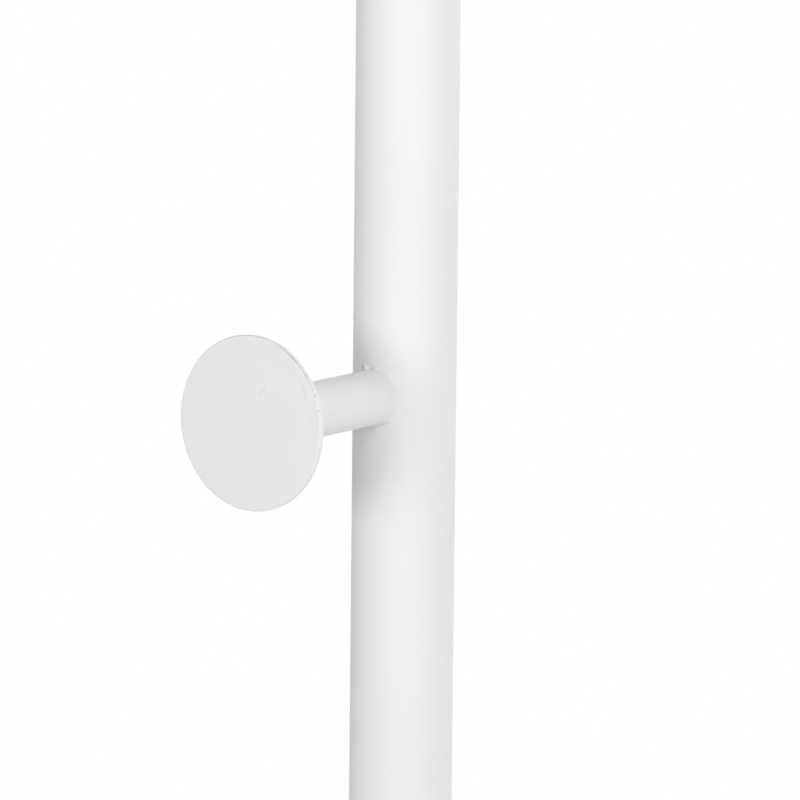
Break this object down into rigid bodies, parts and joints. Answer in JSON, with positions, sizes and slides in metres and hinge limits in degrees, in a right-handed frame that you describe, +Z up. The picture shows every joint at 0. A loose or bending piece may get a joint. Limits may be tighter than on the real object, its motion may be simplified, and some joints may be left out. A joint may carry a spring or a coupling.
{
  "type": "clothes rack",
  "caption": "Free-standing clothes rack of white coated steel tube, with a hanging rail between the posts and disc-ended pegs welded to their outer sides.",
  "frame": {"origin": "on the floor, under the middle of the rack", "axes": "+X along the hanging rail to the right post, +Y to the back, +Z up"},
  "size_m": [1.0464, 0.42, 1.65],
  "materials": {
    "white_coat": "satin white powder coat with a faint orange peel",
    "white_plastic": "matt white moulding",
    "grey_plastic": "matt grey moulding",
    "zinc_steel": "bright zinc plate",
    "nickel_steel": "nickel plate"
  },
  "bodies": {
    "frame": {"left_post": "white_coat", "left_post_cap": "white_plastic", "left_foot": "white_coat", "left_front_foot_cap": "white_plastic", "left_rear_foot_cap": "white_plastic", "right_post": "white_coat", "right_post_cap": "white_plastic", "right_foot": "white_coat", "right_front_foot_cap": "white_plastic", "right_rear_foot_cap": "white_plastic", "hanging_rail": "white_coat", "stretcher": "white_coat", "left_rail_plug": "zinc_steel", "left_rail_bolt": "nickel_steel", "left_rail_washer": "white_plastic", "right_rail_plug": "zinc_steel", "right_rail_bolt": "nickel_steel", "right_rail_washer": "white_plastic", "left_stretcher_plug": "zinc_steel", "left_stretcher_bolt": "nickel_steel", "left_stretcher_washer": "white_plastic", "right_stretcher_plug": "zinc_steel", "right_stretcher_bolt": "nickel_steel", "right_stretcher_washer": "white_plastic", "left_post_plug": "zinc_steel", "left_foot_bolt": "nickel_steel", "left_foot_washer": "white_plastic", "right_post_plug": "zinc_steel", "right_foot_bolt": "nickel_steel", "right_foot_washer": "white_plastic", "left_upper_peg_stub": "white_coat", "left_upper_peg_weld": "white_coat", "left_upper_peg_disc": "white_coat", "left_lower_peg_stub": "white_coat", "left_lower_peg_weld": "white_coat", "left_lower_peg_disc": "white_coat", "right_upper_peg_stub": "white_coat", "right_upper_peg_weld": "white_coat", "right_upper_peg_disc": "white_coat", "right_lower_peg_stub": "white_coat", "right_lower_peg_weld": "white_coat", "right_lower_peg_disc": "white_coat", "left_front_glide_boss": "zinc_steel", "left_rear_glide_boss": "zinc_steel", "right_front_glide_boss": "zinc_steel", "right_rear_glide_boss": "zinc_steel"},
    "left_front_pad": {"left_front_glide_pad": "grey_plastic"},
    "left_front_stud": {"left_front_glide_stud": "zinc_steel"},
    "left_rear_pad": {"left_rear_glide_pad": "grey_plastic"},
    "left_rear_stud": {"left_rear_glide_stud": "zinc_steel"},
    "right_front_pad": {"right_front_glide_pad": "grey_plastic"},
    "right_front_stud": {"right_front_glide_stud": "zinc_steel"},
    "right_rear_pad": {"right_rear_glide_pad": "grey_plastic"},
    "right_rear_stud": {"right_rear_glide_stud": "zinc_steel"}
  },
  "joints": [
    {"name": "left_front_glide_lift", "type": "slide", "parent": "frame", "child": "left_front_pad", "axis": [0, 0, -1], "range_m": [0, 0.008]},
    {"name": "left_front_glide_turn", "type": "hinge", "parent": "left_front_pad", "child": "left_front_stud", "pos_m": [-0.45, -0.18, 0], "axis": [0, 0, -1], "range_deg": [0, 2304]},
    {"name": "left_rear_glide_lift", "type": "slide", "parent": "frame", "child": "left_rear_pad", "axis": [0, 0, -1], "range_m": [0, 0.008]},
    {"name": "left_rear_glide_turn", "type": "hinge", "parent": "left_rear_pad", "child": "left_rear_stud", "pos_m": [-0.45, 0.18, 0], "axis": [0, 0, -1], "range_deg": [0, 2304]},
    {"name": "right_front_glide_lift", "type": "slide", "parent": "frame", "child": "right_front_pad", "axis": [0, 0, -1], "range_m": [0, 0.008]},
    {"name": "right_front_glide_turn", "type": "hinge", "parent": "right_front_pad", "child": "right_front_stud", "pos_m": [0.45, -0.18, 0], "axis": [0, 0, -1], "range_deg": [0, 2304]},
    {"name": "right_rear_glide_lift", "type": "slide", "parent": "frame", "child": "right_rear_pad", "axis": [0, 0, -1], "range_m": [0, 0.008]},
    {"name": "right_rear_glide_turn", "type": "hinge", "parent": "right_rear_pad", "child": "right_rear_stud", "pos_m": [0.45, 0.18, 0], "axis": [0, 0, -1], "range_deg": [0, 2304]}
  ],
  "couplings": [
    {"joint": "left_front_glide_lift", "follows": "left_front_glide_turn", "m_per_rad": 0.00019894},
    {"joint": "left_rear_glide_lift", "follows": "left_rear_glide_turn", "m_per_rad": 0.00019894},
    {"joint": "right_front_glide_lift", "follows": "right_front_glide_turn", "m_per_rad": 0.00019894},
    {"joint": "right_rear_glide_lift", "follows": "right_rear_glide_turn", "m_per_rad": 0.00019894}
  ]
}
